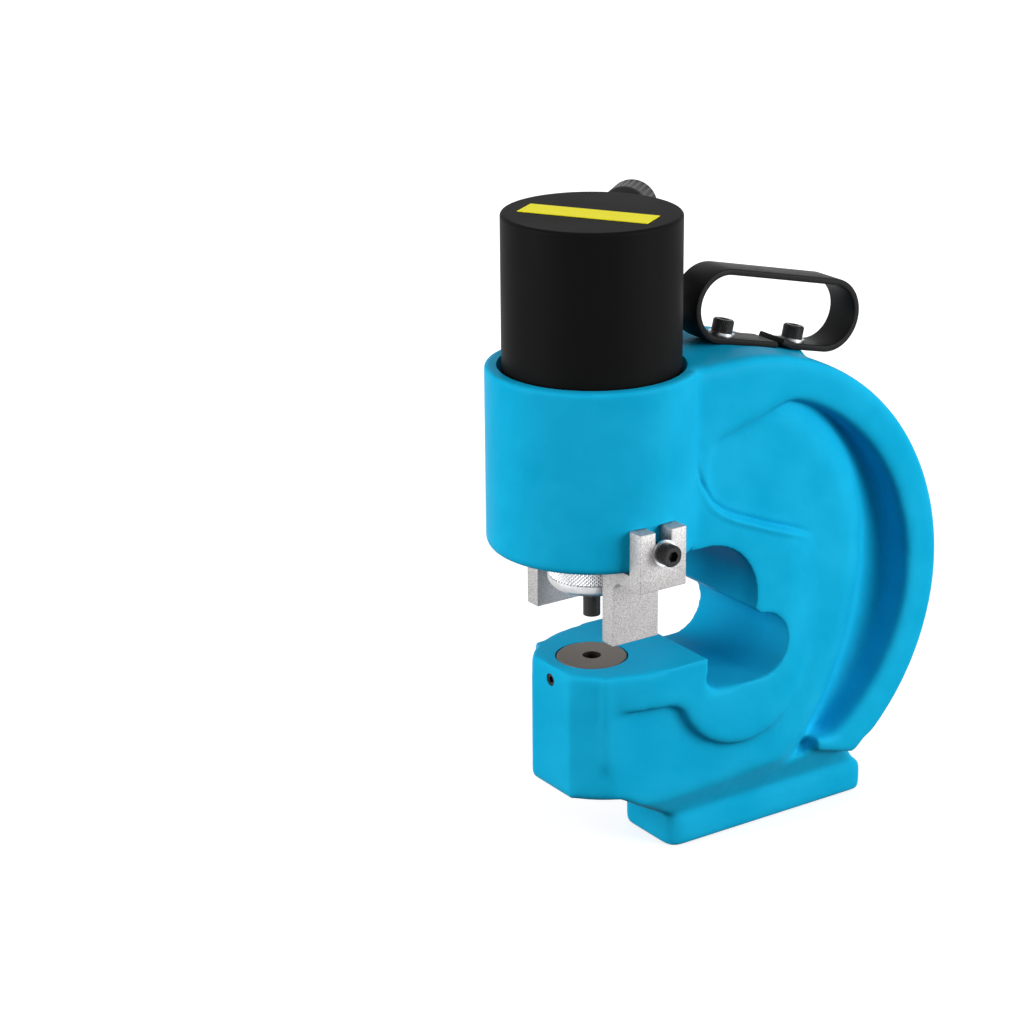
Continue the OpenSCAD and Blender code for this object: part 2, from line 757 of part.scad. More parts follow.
module handle_strap() color([0.1, 0.1, 0.1]) place() at_handle() difference() {
  union() {
    for (s = [-1, 1]) strap_bend(s);
    strap_run(-strap_pitch / 2, strap_pitch / 2, strap_r - strap_t);
    strap_run(-strap_pitch / 2, strap_end, -strap_r);
    strap_run(strap_rise_u, strap_pitch / 2, -strap_r);
    // the rear end rises over the front one
    translate([0, strap_rise_u, -strap_r]) rotate([-strap_rise_a, 0, 0])
      strap_run(-strap_rise_len, 0.5, 0);
  }
  for (u = screw_u) translate([0, u, -strap_r - 1]) cylinder(h = strap_t + 2, d = screw_d + 1);
}

module handle_washers() color("silver") place() at_handle() for (u = screw_u)
  translate([0, u, strap_t - strap_r]) washer();

module handle_screws() color("black") place() at_handle() for (u = screw_u)
  translate([0, u, strap_t - strap_r + washer_t]) socket_screw(handle_screw_len);

module inlet_adapter() color("dimgray") place() at_inlet(0) difference() {
  union() {
    translate([0, 0, cyl_r - inlet_depth + 2]) cylinder(h = inlet_depth, d = inlet_d - 2 * run_c);
    translate([0, 0, inlet_out]) cylinder(h = hex_len, r = hex_r, $fn = 6);
  }
  cylinder(h = 2 * cyl_r, d = oil_d);
}

module coupler_body() color("silver") place() at_inlet(coupler_x) difference() {
  rotate_extrude() polygon([[0, 0], [nipple_r + 1, 0], [nipple_r + 1, 7], [nipple_r - 1, 9],
    [nipple_r - 1, 14], [nipple_r, 15], [nipple_r, nipple_len - 2], [nipple_r - 1, nipple_len],
    [0, nipple_len]]);
  translate([0, 0, -1]) cylinder(h = nipple_len / 2, d = oil_d);
  translate([0, 0, seat_len]) cylinder(h = nipple_len - 2 * seat_len, d = 2 * oil_d);
  translate([0, 0, seat_len]) cylinder(h = nipple_len, r = seat_r);
}

module coupler_ball() color("silver") place() at_inlet(coupler_x) translate([0, 0, ball_s]) sphere(ball_r);

module coupler_spring() color("slategray") place() at_inlet(coupler_x)
  helix(coil_r, seat_len + coil_wire / 2 + spring_gap, ball_s - coil_r + spring_gap,
    coil_turns, coil_wire, "coupler spring");

module dust_cap() color([0.08, 0.08, 0.08]) place() at_inlet(coupler_x + cap_s) difference() {
  rotate_extrude() {
    square([cap_d / 2 - 2, cap_len]);
    square([cap_d / 2, cap_len - 2]);
    translate([cap_d / 2 - 2, cap_len - 2]) circle(2);
  }
  translate([0, 0, -1]) cylinder(h = cap_len - cap_wall + 1, r = nipple_r + free_c);
}

module label_plate() color("yellow") place() translate([3.5, -5, cyl_top]) rotate([0, 0, 33])
  translate([-label_len / 2, -label_w / 2, 0]) cube([label_len, label_w, label_t]);

frame();
die();
die_set_screw();
cylinder_body();
ram_bush();
ram_wiper();
piston();
piston_seal();
wear_ring();
return_spring();
ram();
punch();
punch_nut();
stripper_right();
stripper_left();
stripper_screws();
stripper_washers();
handle_strap();
handle_screws();
handle_washers();
inlet_adapter();
coupler_body();
coupler_ball();
coupler_spring();
dust_cap();
label_plate();
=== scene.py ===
import bpy
from math import radians, sin, cos, exp, pi, atan2, hypot, tau
from mathutils import Matrix, Vector


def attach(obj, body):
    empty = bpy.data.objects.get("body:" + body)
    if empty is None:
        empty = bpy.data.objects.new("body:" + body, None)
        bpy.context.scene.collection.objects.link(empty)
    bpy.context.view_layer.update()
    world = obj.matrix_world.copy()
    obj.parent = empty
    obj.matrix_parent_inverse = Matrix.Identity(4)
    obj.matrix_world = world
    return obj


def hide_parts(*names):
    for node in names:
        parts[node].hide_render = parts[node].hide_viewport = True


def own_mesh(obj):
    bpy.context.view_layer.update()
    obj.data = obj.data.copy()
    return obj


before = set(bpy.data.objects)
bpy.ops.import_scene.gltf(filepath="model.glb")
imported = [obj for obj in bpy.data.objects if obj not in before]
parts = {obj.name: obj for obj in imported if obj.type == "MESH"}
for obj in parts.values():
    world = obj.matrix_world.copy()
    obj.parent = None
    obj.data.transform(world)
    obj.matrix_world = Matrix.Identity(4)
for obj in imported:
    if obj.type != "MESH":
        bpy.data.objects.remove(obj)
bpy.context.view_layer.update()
scene = bpy.context.scene
scene.view_settings.view_transform = "Standard"


# Camera: it stands off the punch's right front corner, a little above it, with a long lens and the punch
# to the right of the picture's middle, as in a catalogue photograph.
azimuth, elevation, tilt = radians(54.61), radians(19.53), radians(0.10)
aim_point, stand_off = Vector((0.0038, -0.0823, 0.2230)), 1.6506
back = Vector((sin(azimuth) * cos(elevation), -cos(azimuth) * cos(elevation), sin(elevation)))
level_right = Vector((cos(azimuth), sin(azimuth), 0))
level_up = back.cross(level_right)
right = cos(tilt) * level_right + sin(tilt) * level_up
up = cos(tilt) * level_up - sin(tilt) * level_right
bpy.ops.object.camera_add()
camera = bpy.context.object
camera.name = "camera"
camera.data.sensor_width = 36
camera.data.lens = 97.43
camera.data.shift_x = -0.0886
camera.data.shift_y = 0.0023
look = Matrix((right, up, back)).transposed().to_4x4()
look.translation = aim_point + stand_off * back
camera.matrix_world = look
scene.camera = camera


# Studio: a plain floor, a large soft box on either side and a dim room with a brighter ceiling. The camera,
# and mirrors, see the room as plain white; the floor keeps the soft shadow under the punch and is dark in
# its bounce, so that undercut faces stay deep in colour.
def srgb(code):
    """Turns an sRGB hex colour into the linear values that shaders use."""
    shares = [int(code[i:i + 2], 16) / 255 for i in (1, 3, 5)]
    return [s / 12.92 if s <= 0.04045 else ((s + 0.055) / 1.055) ** 2.4 for s in shares] + [1]


def add(tree, kind, sockets=None, **settings):
    """Adds a node. A socket takes a value, or (node, output) to link it."""
    new = tree.nodes.new("ShaderNode" + kind)
    for name, value in settings.items():
        setattr(new, name, value)
    for key, value in (sockets or {}).items():
        if isinstance(value, tuple):
            tree.links.new(value[0].outputs[value[1]], new.inputs[key])
        else:
            new.inputs[key].default_value = value
    return new


def finish(name, **sockets):
    """A new material with its Principled shader's plain values set."""
    made = bpy.data.materials.new(name)
    made.use_nodes = True
    shader = made.node_tree.nodes["Principled BSDF"]
    for key, value in sockets.items():
        shader.inputs[key.replace("_", " ").title().replace("Ior", "IOR")].default_value = value
    return made, made.node_tree, shader


def link(tree, shader, **sources):
    """Links (node, output) pairs to the shader's sockets."""
    for key, (node, output) in sources.items():
        tree.links.new(node.outputs[output], shader.inputs[key.replace("_", " ").title()])


def plain_sight(tree):
    """A node that is 1 for the camera, mirrors and clear matter, and 0 for the light that bounces."""
    ray = add(tree, "LightPath")
    seen = add(tree, "Math", {0: (ray, "Is Camera Ray"), 1: (ray, "Is Glossy Ray")}, operation="MAXIMUM")
    return add(tree, "Math", {0: (seen, 0), 1: (ray, "Is Transmission Ray")}, operation="MAXIMUM")


room = bpy.data.worlds.new("white_room")
scene.world = room
room.use_nodes = True
tree = room.node_tree
seen = plain_sight(tree)
at = add(tree, "TexCoord")
height = add(tree, "SeparateXYZ", {0: (at, "Generated")})
sky = add(tree, "MapRange", {"Value": (height, "Z"), "To Min": 0.04, "To Max": 0.7})
strength = add(tree, "MapRange", {"Value": (seen, 0), "To Min": (sky, 0), "To Max": 1.0})
lamp = tree.nodes["Background"]
lamp.inputs["Color"].default_value = (1, 1, 1, 1)
tree.links.new(strength.outputs[0], lamp.inputs["Strength"])

bpy.ops.mesh.primitive_plane_add(size=24, location=(0, 0, 0))
floor = bpy.context.object
floor.name = "floor"
paper, tree, shader = finish("paper_backdrop", roughness=0.9)
shader.inputs["Specular IOR Level"].default_value = 0
seen = plain_sight(tree)
shade = add(tree, "Mix", {0: (seen, 0), 6: srgb("#1A1A1A"), 7: srgb("#B4B4B4")}, data_type="RGBA")
at = add(tree, "TexCoord")
away = add(tree, "VectorMath", {0: (at, "Object")}, operation="LENGTH")
glow = add(tree, "MapRange", {"Value": (away, "Value"), "From Min": 0.3, "From Max": 1.2, "To Min": 0.72,
                              "To Max": 1.0})
glow = add(tree, "Math", {0: (seen, 0), 1: (glow, 0)}, operation="MULTIPLY")
shader.inputs["Emission Color"].default_value = (1, 1, 1, 1)
link(tree, shader, base_color=(shade, 2), emission_strength=(glow, 0))
floor.data.materials.append(paper)

# each soft box has its turn from the camera's side and its lift over the horizon, in degrees, and its watts
distance, lit_point = 1.9, Vector((0, 0, 0.2))
for name, turn, lift, watts in (("left_soft_box", -66, 13, 33), ("right_soft_box", 66, 13, 39)):
    side = azimuth + radians(turn)
    aim = Vector((sin(side) * cos(radians(lift)), -cos(side) * cos(radians(lift)), sin(radians(lift))))
    bpy.ops.object.light_add(type="AREA", location=lit_point + distance * aim)
    box = bpy.context.object
    box.name = name
    box.data.size = 1.1
    box.data.energy = watts
    box.rotation_euler = aim.to_track_quat("Z", "Y").to_euler()


# Frame: one steel casting with a curved back, a throat and a barrel for the cylinder. Its rough faces are
# soft and a little uneven; the seats, flats and holes are machined after casting, so they are crisp. It is
# sprayed with a thick coat of blue enamel.
mm = 0.001
ram_y = -87.6008
# radii and heights in mm of the barrel, the cylinder's seat in it, the die's seat and the slug's way out
barrel_r, barrel_z, barrel_top = 63.1, 206.6, 316.8
seat_r, seat_z, ram_hole_r = 53.05, 221.6, 31
jaw_z, die_seat_z, die_seat_r, nose_z, slug_r = 132.6, 110.6, 22.3, 50.4, 13
# the flats for the strippers, their screws' height and the radius that all screw holes have
flat_x, flat_half_w, flat_top, screw_z, screw_hole_r = 60.8, 16.8, 234.1, 220.6, 4
# the strap stands on a seat below its own middle, and its two screws lie off that middle
strap_seat, tap_low, strap_pins = -23.02, -41, (-32, 24)
ram_axis = Matrix.Translation((0, ram_y * mm, 0))
strap_at = Matrix.Translation((0, (130.7 + ram_y) * mm, 0.3302)) @ Matrix.Rotation(radians(-12.8), 4, "X")
boss = [strap_at @ Matrix.Translation((0, u * mm, 0)) for u in strap_pins]
grub = Matrix.Translation((0, ram_y * mm, 0.1236)) @ Matrix.Rotation(pi / 2, 4, "X")


def pick(*pieces):
    """Selects these pieces only; the first is the active one."""
    bpy.ops.object.select_all(action="DESELECT")
    for piece in pieces:
        piece.select_set(True)
    bpy.context.view_layer.objects.active = pieces[0]


def apply(piece, kind, **settings):
    """Puts a modifier on a piece and applies it."""
    pick(piece)
    step = piece.modifiers.new("step", kind)
    for name, value in settings.items():
        setattr(step, name, value)
    bpy.ops.object.modifier_apply(modifier=step.name)


def settle(piece):
    """Moves a piece's place, turn and size into its mesh."""
    pick(piece)
    bpy.ops.object.transform_apply(location=True, rotation=True, scale=True)


def edit_all(piece):
    """Opens a piece for editing, with all of it selected."""
    pick(piece)
    bpy.ops.object.mode_set(mode="EDIT")
    bpy.ops.mesh.select_all(action="SELECT")


def close_edit():
    """Ends the editing of the piece that is open."""
    bpy.ops.object.mode_set(mode="OBJECT")


def edit_some(piece, kind, chosen):
    """Opens a piece for editing with only the chosen ones of its points or edges selected, by number."""
    edit_all(piece)
    bpy.ops.mesh.select_mode(type=kind)
    bpy.ops.mesh.select_all(action="DESELECT")
    close_edit()
    members = piece.data.edges if kind == "EDGE" else piece.data.vertices
    for i in chosen:
        members[i].select = True
    bpy.ops.object.mode_set(mode="EDIT")


def merge(piece, gap):
    """Merges points that lie closer than the gap and drops faces without area."""
    edit_all(piece)
    bpy.ops.mesh.remove_doubles(threshold=gap)
    bpy.ops.mesh.dissolve_degenerate(threshold=gap)
    close_edit()


def copy_of(part, name):
    """A copy of a CAD piece, with its loose triangles merged, free to be shaped."""
    piece = parts[part].copy()
    piece.data = piece.data.copy()
    piece.parent = None
    for key in list(piece.keys()):
        del piece[key]
    piece.name = piece.data.name = name
    scene.collection.objects.link(piece)
    merge(piece, 2e-6)
    return piece


def rod(radius, start, end, place=ram_axis, sides=96):
    """A cylinder in mm from start to end along its own z, put at a place."""
    bpy.ops.mesh.primitive_cylinder_add(vertices=sides, radius=radius * mm, depth=(end - start) * mm,
                                        location=(0, 0, (start + end) / 2 * mm))
    piece = bpy.context.object
    settle(piece)
    piece.data.transform(place)
    return piece


def block(low, high, place=ram_axis):
    """A box in mm between two corners, put at a place."""
    middle = [(a + b) / 2 * mm for a, b in zip(low, high)]
    bpy.ops.mesh.primitive_cube_add(size=1, location=middle, scale=[(b - a) * mm for a, b in zip(low, high)])
    piece = bpy.context.object
    settle(piece)
    piece.data.transform(place)
    return piece


casting = copy_of("frame", "casting")
# the rough casting has its bores and flats still filled, and the barrel's lower edge is round all the way
barrel_ring = rod(barrel_r, barrel_z, 240, sides=160)
points, low_z = barrel_ring.data.vertices, (barrel_z + 0.1) * mm
low = [edge.index for edge in barrel_ring.data.edges if max(points[v].co.z for v in edge.vertices) < low_z]
edit_some(barrel_ring, "EDGE", low)
bpy.ops.mesh.bevel(offset=0.005, segments=8, affect="EDGES")
close_edit()
fills = [barrel_ring, rod(seat_r + 1.95, barrel_z, barrel_top - 0.2), rod(die_seat_r + 0.7, 90, jaw_z - 0.1),
         rod(slug_r + 2, nose_z + 0.2, 100), rod(screw_hole_r + 1, 15, 30.2, grub)]
fills += [rod(2 * screw_hole_r, tap_low - 2, strap_seat - 0.08, place) for place in boss]
# the rim's heel runs down to the foot on a slant, as the flanks' lower edge does further forward: a block,
# whose corners at (y, z) go to new places
heel_x, heel_front, heel_back, heel_low, heel_high = 46, 143, 184, 34, 56
slant = {(heel_front, heel_low): (heel_front, 47.4), (heel_back, heel_low): (174, 38.4),
         (heel_back, heel_high): (188.5, 52), (heel_front, heel_high): (heel_front, heel_high)}
heel = block((-heel_x, heel_front, heel_low), (heel_x, heel_back, heel_high))
for vertex in heel.data.vertices:
    y, z = slant[round(vertex.co.y / mm - ram_y), round(vertex.co.z / mm)]
    vertex.co.y, vertex.co.z = (y + ram_y) * mm, z * mm
pick(casting, *fills, heel)
bpy.ops.object.join()
apply(casting, "REMESH", mode="VOXEL", voxel_size=1.3 * mm)


# the throat's two circles: the y and z of each one's middle, and its radius
throat_circles = ((52, 165.6, 39), (95, 131.1, 21.5))


def softness(point):
    """How soft the casting is at a point: 1 in the pockets and the foot, 0 at the throat, nose and barrel."""
    x, y, z = abs(point.x) / mm, point.y / mm - ram_y, point.z / mm
    throat = min(hypot(y - mid_y, z - mid_z) - radius for mid_y, mid_z, radius in throat_circles)
    foot = z < 24
    jaw_rim = 120 < z < 134 and y < 24 and hypot(x, y) > 30
    crisp = x > 47.5 or y < -28 or throat < 4 or y < 40 and z > 140
    nose = y < 8 and z > 100
    if foot:
        return 1
    if jaw_rim:
        return 0.5
    if crisp:
        return 0
    return 0.5 if nose else min(1, (throat - 4) / 6)


# The fold round the upper pocket is a soft crease beside the barrel that turns into a sharp ledge with a
# bright lip under it. Its line has points (y, z) in mm.
crease_deep, crease_half_w, lip_high, lip_half_w = 2.0, 1.5, 1.6, 1.9
fold = [(40, 262), (43, 253), (47, 244), (56, 231), (66, 223.2), (76, 218.2), (88.5, 213), (101.5, 207.6),
        (122, 200), (137, 193.4)]


def beside_fold(y, z):
    """Distance from the fold, negative if below it, and how far along it this is, from 0 to 1."""
    best = (99, 0)
    for i, ((y1, z1), (y2, z2)) in enumerate(zip(fold, fold[1:])):
        run, rise, long = y2 - y1, z2 - z1, hypot(y2 - y1, z2 - z1)
        share = min(1, max(0, ((y - y1) * run + (z - z1) * rise) / long ** 2))
        off = hypot(y - y1 - share * run, z - z1 - share * rise)
        if off < abs(best[0]):
            best = (off if run * (z - z1) > rise * (y - y1) else -off, (i + share) / (len(fold) - 1))
    return best


# 64 light passes melt the rough faces, and 5 more take the steps of the remesh off all of them
soft = casting.vertex_groups.new(name="soft")
for vertex in casting.data.vertices:
    share = softness(vertex.co)
    if share > 0:
        soft.add([vertex.index], share, "REPLACE")
apply(casting, "SMOOTH", factor=0.5, iterations=64, vertex_group="soft")
apply(casting, "SMOOTH", factor=0.5, iterations=5)
casting.vertex_groups.clear()
for vertex in casting.data.vertices:
    x, y, z = abs(vertex.co.x) / mm, vertex.co.y / mm - ram_y, vertex.co.z / mm
    if 34 < x < 47.5 and 34 < y < 144 and 188 < z < 268:
        off, along = beside_fold(y, z)
        if abs(off) < 9:
            ends = min(1, along * 5, (1 - along) * 6)
            crease = crease_deep * exp(-((off - 1.4) / crease_half_w) ** 2)
            growth = min(1, max(0.15, along * 4 - 0.8))
            lip = lip_high * growth * exp(-((off + 2.0) / lip_half_w) ** 2)
            vertex.co.x += (lip - crease) * ends * mm * (1 if vertex.co.x > 0 else -1)
# the remesh has faces of four sides, of which this many make 180,000 triangles
most_faces = 90000
apply(casting, "DECIMATE", ratio=min(1, most_faces / len(casting.data.polygons)))

# the machined seats, flats and threaded holes
cuts = [rod(seat_r, seat_z, 330, sides=192), rod(ram_hole_r, 200, 225),
        rod(die_seat_r, die_seat_z, 140, sides=128), rod(slug_r, 30, 112)]
sideways = Matrix.Translation((0, ram_y * mm, screw_z * mm)) @ Matrix.Rotation(pi / 2, 4, "Y")
for flat_ends, hole_ends in (((flat_x, 75), (54.5, 74.5)), ((-75, -flat_x), (-74.5, -54.5))):
    cuts.append(block((flat_ends[0], -flat_half_w, 200), (flat_ends[1], flat_half_w, flat_top)))
    cuts.append(rod(screw_hole_r, *hole_ends, sideways, sides=32))
cuts.append(rod(screw_hole_r, 10, 40, grub, sides=32))
cuts += [rod(screw_hole_r, tap_low, -10, place, sides=32) for place in boss]
bpy.ops.mesh.primitive_cone_add(vertices=192, radius1=seat_r * mm, radius2=0.058, depth=0.010,
                                location=(0, ram_y * mm, (barrel_top - 1) * mm))
mouth = bpy.context.object
settle(mouth)
seat = block((-14, -60, strap_seat), (14, 20, -3), strap_at)
for cut in cuts + [mouth, seat]:
    apply(casting, "BOOLEAN", object=cut, operation="DIFFERENCE", solver="EXACT")
    bpy.data.objects.remove(cut)
merge(casting, 1e-5)
# a point with only two faces is the tip of a flap that a cut left behind, so it is dissolved
faces_at = [0] * len(casting.data.vertices)
for face in casting.data.polygons:
    for v in face.vertices:
        faces_at[v] += 1
tips = [i for i, count in enumerate(faces_at) if count == 2]
edit_some(casting, "VERT", tips)
bpy.ops.mesh.dissolve_verts()
close_edit()
bpy.ops.object.shade_smooth_by_angle(angle=radians(32))

# Blue enamel sprayed on cast steel: glossy but not mirror-like, with the casting's slow waves of about
# 20 mm, a faint orange peel of about 2 mm, and a little more paint, so a deeper blue, in patches of 45 mm.
# Its index is under a real enamel's 1.5, or the white room would lay a grey veil on it.
enamel, tree, shader = finish("blue_enamel", metallic=0.0, ior=1.2, specular_ior_level=0.05)
at = add(tree, "TexCoord")
patches = add(tree, "TexNoise", {"Vector": (at, "Object"), "Scale": 22.0, "Detail": 3.0})
tone = add(tree, "MapRange", {"Value": (patches, 0), "From Min": 0.35, "From Max": 0.65})
blue = add(tree, "Mix", {0: (tone, 0), 6: srgb("#0FA4D0"), 7: srgb("#18ACD8")}, data_type="RGBA")
gloss = add(tree, "MapRange", {"Value": (patches, 0), "From Min": 0.3, "From Max": 0.7, "To Min": 0.30,
                               "To Max": 0.42})
waves = add(tree, "TexNoise", {"Vector": (at, "Object"), "Scale": 45.0, "Detail": 2.0})
peel = add(tree, "TexNoise", {"Vector": (at, "Object"), "Scale": 480.0, "Detail": 1.0})
slow = add(tree, "Bump", {"Strength": 0.5, "Distance": 0.0016, "Height": (waves, 0)})
fine = add(tree, "Bump", {"Strength": 0.5, "Distance": 0.00012, "Height": (peel, 0), "Normal": (slow, 0)})
link(tree, shader, base_color=(blue, 2), roughness=(gloss, 0), normal=(fine, 0))
casting.data.materials.clear()
casting.data.materials.append(enamel)
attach(casting, "press")
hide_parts("frame")


# Die: a turned and hardened tool-steel ring let into the jaw, flush with its top, and held there by a grub
# screw from the nose's front.
# Oiled tool steel: brownish grey, with faint grinding rings about 1 mm apart round the hole and a mottle of
# 1.5 mm. The bore is painted near black, as painted shade inside the hole.
tool_steel, tree, shader = finish("oiled_tool_steel", metallic=0.8)
at = add(tree, "TexCoord")
centre = add(tree, "Mapping", {"Vector": (at, "Object"), "Location": [0, -ram_y * mm, 0]})
rings = add(tree, "TexWave", {"Vector": (centre, 0), "Scale": 260.0, "Distortion": 1.5, "Detail": 2.0},
            wave_type="RINGS", rings_direction="Z")
mottle = add(tree, "TexNoise", {"Vector": (at, "Object"), "Scale": 700.0, "Detail": 4.0})
tone = add(tree, "Mix", {0: (mottle, 0), 6: srgb("#57514B"), 7: srgb("#7A736B")}, data_type="RGBA")
across = add(tree, "VectorMath", {0: (centre, 0), 1: [1, 1, 0]}, operation="MULTIPLY")
across = add(tree, "VectorMath", {0: (across, 0)}, operation="LENGTH")
# painted shade: inside 5.6 mm of the ram's axis the colour turns near black, standing in for the shade in the
# bore
outside_bore_shade = add(tree, "MapRange", {"Value": (across, "Value"), "From Min": 0.0056, "From Max": 0.0058})
tone = add(tree, "Mix", {0: (outside_bore_shade, 0), 6: srgb("#0B0A0A"), 7: (tone, 2)}, data_type="RGBA")
gloss = add(tree, "MapRange", {"Value": (mottle, 0), "To Min": 0.38, "To Max": 0.6})
relief = add(tree, "Bump", {"Strength": 0.25, "Distance": 0.00003, "Height": (rings, 0)})
link(tree, shader, base_color=(tone, 2), roughness=(gloss, 0), normal=(relief, 0))
parts["die"].material_slots[0].material = tool_steel

# Black oxide on alloy steel, as all of the screws have it: an almost black, slightly oily metal with a
# fine mottle of about 1 mm.
black_oxide, tree, shader = finish("black_oxide_steel", metallic=0.7)
at = add(tree, "TexCoord")
mottle = add(tree, "TexNoise", {"Vector": (at, "Object"), "Scale": 900.0, "Detail": 3.0})
tone = add(tree, "Mix", {0: (mottle, 0), 6: srgb("#151515"), 7: srgb("#2C2C2D")}, data_type="RGBA")
gloss = add(tree, "MapRange", {"Value": (mottle, 0), "To Min": 0.3, "To Max": 0.5})
relief = add(tree, "Bump", {"Strength": 0.3, "Distance": 0.00003, "Height": (mottle, 0)})
link(tree, shader, base_color=(tone, 2), roughness=(gloss, 0), normal=(relief, 0))
parts["die_set_screw"].material_slots[0].material = black_oxide


# Cylinder: a thick steel tube, closed at its top, let down into the barrel.
# Black enamel, sprayed: semi-gloss, duller and brighter in patches of about 30 mm, with a fine orange peel
# of 1.7 mm. Its index is low for the same reason as the blue's.
black_enamel, tree, shader = finish("black_enamel", metallic=0.0, ior=1.3, specular_ior_level=0.05)
at = add(tree, "TexCoord")
patches = add(tree, "TexNoise", {"Vector": (at, "Object"), "Scale": 30.0, "Detail": 4.0})
tone = add(tree, "Mix", {0: (patches, 0), 6: srgb("#0F0F0F"), 7: srgb("#141414")}, data_type="RGBA")
gloss = add(tree, "MapRange", {"Value": (patches, 0), "To Min": 0.42, "To Max": 0.56})
peel = add(tree, "TexNoise", {"Vector": (at, "Object"), "Scale": 600.0, "Detail": 1.0})
relief = add(tree, "Bump", {"Strength": 0.4, "Distance": 0.00006, "Height": (peel, 0)})
link(tree, shader, base_color=(tone, 2), roughness=(gloss, 0), normal=(relief, 0))
parts["cylinder_body"].material_slots[0].material = black_enamel


# Bush, wiper and rings: a turned bronze bush guides the ram and carries a rubber wiper; the piston
# has a rubber seal and a ring of filled plastic. All are hidden inside the cylinder.
# Turned bronze: warm and bright, with tool marks 0.8 mm apart.
bronze, tree, shader = finish("turned_bronze", metallic=1.0, roughness=0.32)
at = add(tree, "TexCoord")
lines = add(tree, "TexWave", {"Vector": (at, "Object"), "Scale": 400.0, "Distortion": 0.4, "Detail": 1.0},
            bands_direction="Z")
tone = add(tree, "Mix", {0: (lines, 1), 6: srgb("#A67C3D"), 7: srgb("#BE9350")}, data_type="RGBA")
relief = add(tree, "Bump", {"Strength": 0.3, "Distance": 0.00003, "Height": (lines, 1)})
link(tree, shader, base_color=(tone, 2), normal=(relief, 0))
parts["ram_bush"].material_slots[0].material = bronze

# Nitrile rubber: matt black with a faint grey bloom in spots of 8 mm.
rubber, tree, shader = finish("nitrile_rubber", roughness=0.62)
at = add(tree, "TexCoord")
bloom = add(tree, "TexNoise", {"Vector": (at, "Object"), "Scale": 120.0, "Detail": 4.0})
tone = add(tree, "Mix", {0: (bloom, 0), 6: srgb("#161616"), 7: srgb("#242424")}, data_type="RGBA")
relief = add(tree, "Bump", {"Strength": 0.2, "Distance": 0.00005, "Height": (bloom, 0)})
link(tree, shader, base_color=(tone, 2), normal=(relief, 0))
parts["ram_wiper"].material_slots[0].material = rubber
parts["piston_seal"].material_slots[0].material = rubber

# Filled guide plastic: brown with paler flecks of about 1 mm.
guide_plastic, tree, shader = finish("filled_guide_plastic", roughness=0.5)
at = add(tree, "TexCoord")
flecks = add(tree, "TexNoise", {"Vector": (at, "Object"), "Scale": 900.0, "Detail": 2.0})
tone = add(tree, "Mix", {0: (flecks, 0), 6: srgb("#8A6138"), 7: srgb("#B88A58")}, data_type="RGBA")
link(tree, shader, base_color=(tone, 2))
parts["wear_ring"].material_slots[0].material = guide_plastic


# Piston and ram: the piston is turned from bright steel bar, and the ram is ground and hard-chromed.
# The ram's threaded end carries the punch and its nut.
# Turned bright steel: light grey, with tool marks 0.9 mm apart and a grain of 2 mm.
bright_steel, tree, shader = finish("turned_bright_steel", metallic=1.0)
at = add(tree, "TexCoord")
lines = add(tree, "TexWave", {"Vector": (at, "Object"), "Scale": 350.0, "Distortion": 0.6, "Detail": 2.0},
            bands_direction="Z")
grain = add(tree, "TexNoise", {"Vector": (at, "Object"), "Scale": 500.0, "Detail": 4.0})
tone = add(tree, "Mix", {0: (grain, 0), 6: srgb("#A9AAAB"), 7: srgb("#DADBDC")}, data_type="RGBA")
gloss = add(tree, "MapRange", {"Value": (grain, 0), "To Min": 0.25, "To Max": 0.5})
relief = add(tree, "Bump", {"Strength": 0.25, "Distance": 0.00003, "Height": (lines, 1)})
link(tree, shader, base_color=(tone, 2), roughness=(gloss, 0), normal=(relief, 0))
parts["piston"].material_slots[0].material = bright_steel

# Ground hard chrome: a mirror that is dulled a little by grinding streaks round it, 0.5 mm high.
hard_chrome, tree, shader = finish("ground_hard_chrome", metallic=1.0, base_color=srgb("#D2D4D8"))
at = add(tree, "TexCoord")
streaks = add(tree, "Mapping", {"Vector": (at, "Object"), "Scale": [1, 1, 12]})
grind = add(tree, "TexNoise", {"Vector": (streaks, 0), "Scale": 150.0, "Detail": 3.0})
gloss = add(tree, "MapRange", {"Value": (grind, 0), "To Min": 0.08, "To Max": 0.22})
link(tree, shader, roughness=(gloss, 0))
parts["ram"].material_slots[0].material = hard_chrome

# the punch is black like the screws
parts["punch"].material_slots[0].material = black_oxide


# Punch nut: a round steel nut with a rounded lower edge and a cross-cut knurl that gives the fingers
# grip. It screws onto the ram's end and clamps the punch by its flange.
def turned(name, outline, steps, place):
    """Turns a closed outline of (radius, height) points in mm about z and puts the piece at its place."""
    mesh = bpy.data.meshes.new(name)
    count = len(outline)
    edges = [(i, (i + 1) % count) for i in range(count) if outline[i][0] or outline[(i + 1) % count][0]]
    mesh.from_pydata([(r * mm, 0, z * mm) for r, z in outline], edges, [])
    piece = bpy.data.objects.new(name, mesh)
    scene.collection.objects.link(piece)
    apply(piece, "SCREW", angle=tau, steps=steps, render_steps=steps, use_merge_vertices=True,
          merge_threshold=1e-6)
    edit_all(piece)
    bpy.ops.mesh.remove_doubles(threshold=1e-6)
    bpy.ops.mesh.normals_make_consistent(inside=False)
    close_edit()
    piece.data.transform(place)
    return piece


def arc(radius, middle, start, end, steps=6):
    """Points of a round corner, from one angle to another in degrees."""
    turns = [radians(start + (end - start) * i / steps) for i in range(steps + 1)]
    return [(middle[0] + radius * cos(t), middle[1] + radius * sin(t)) for t in turns]


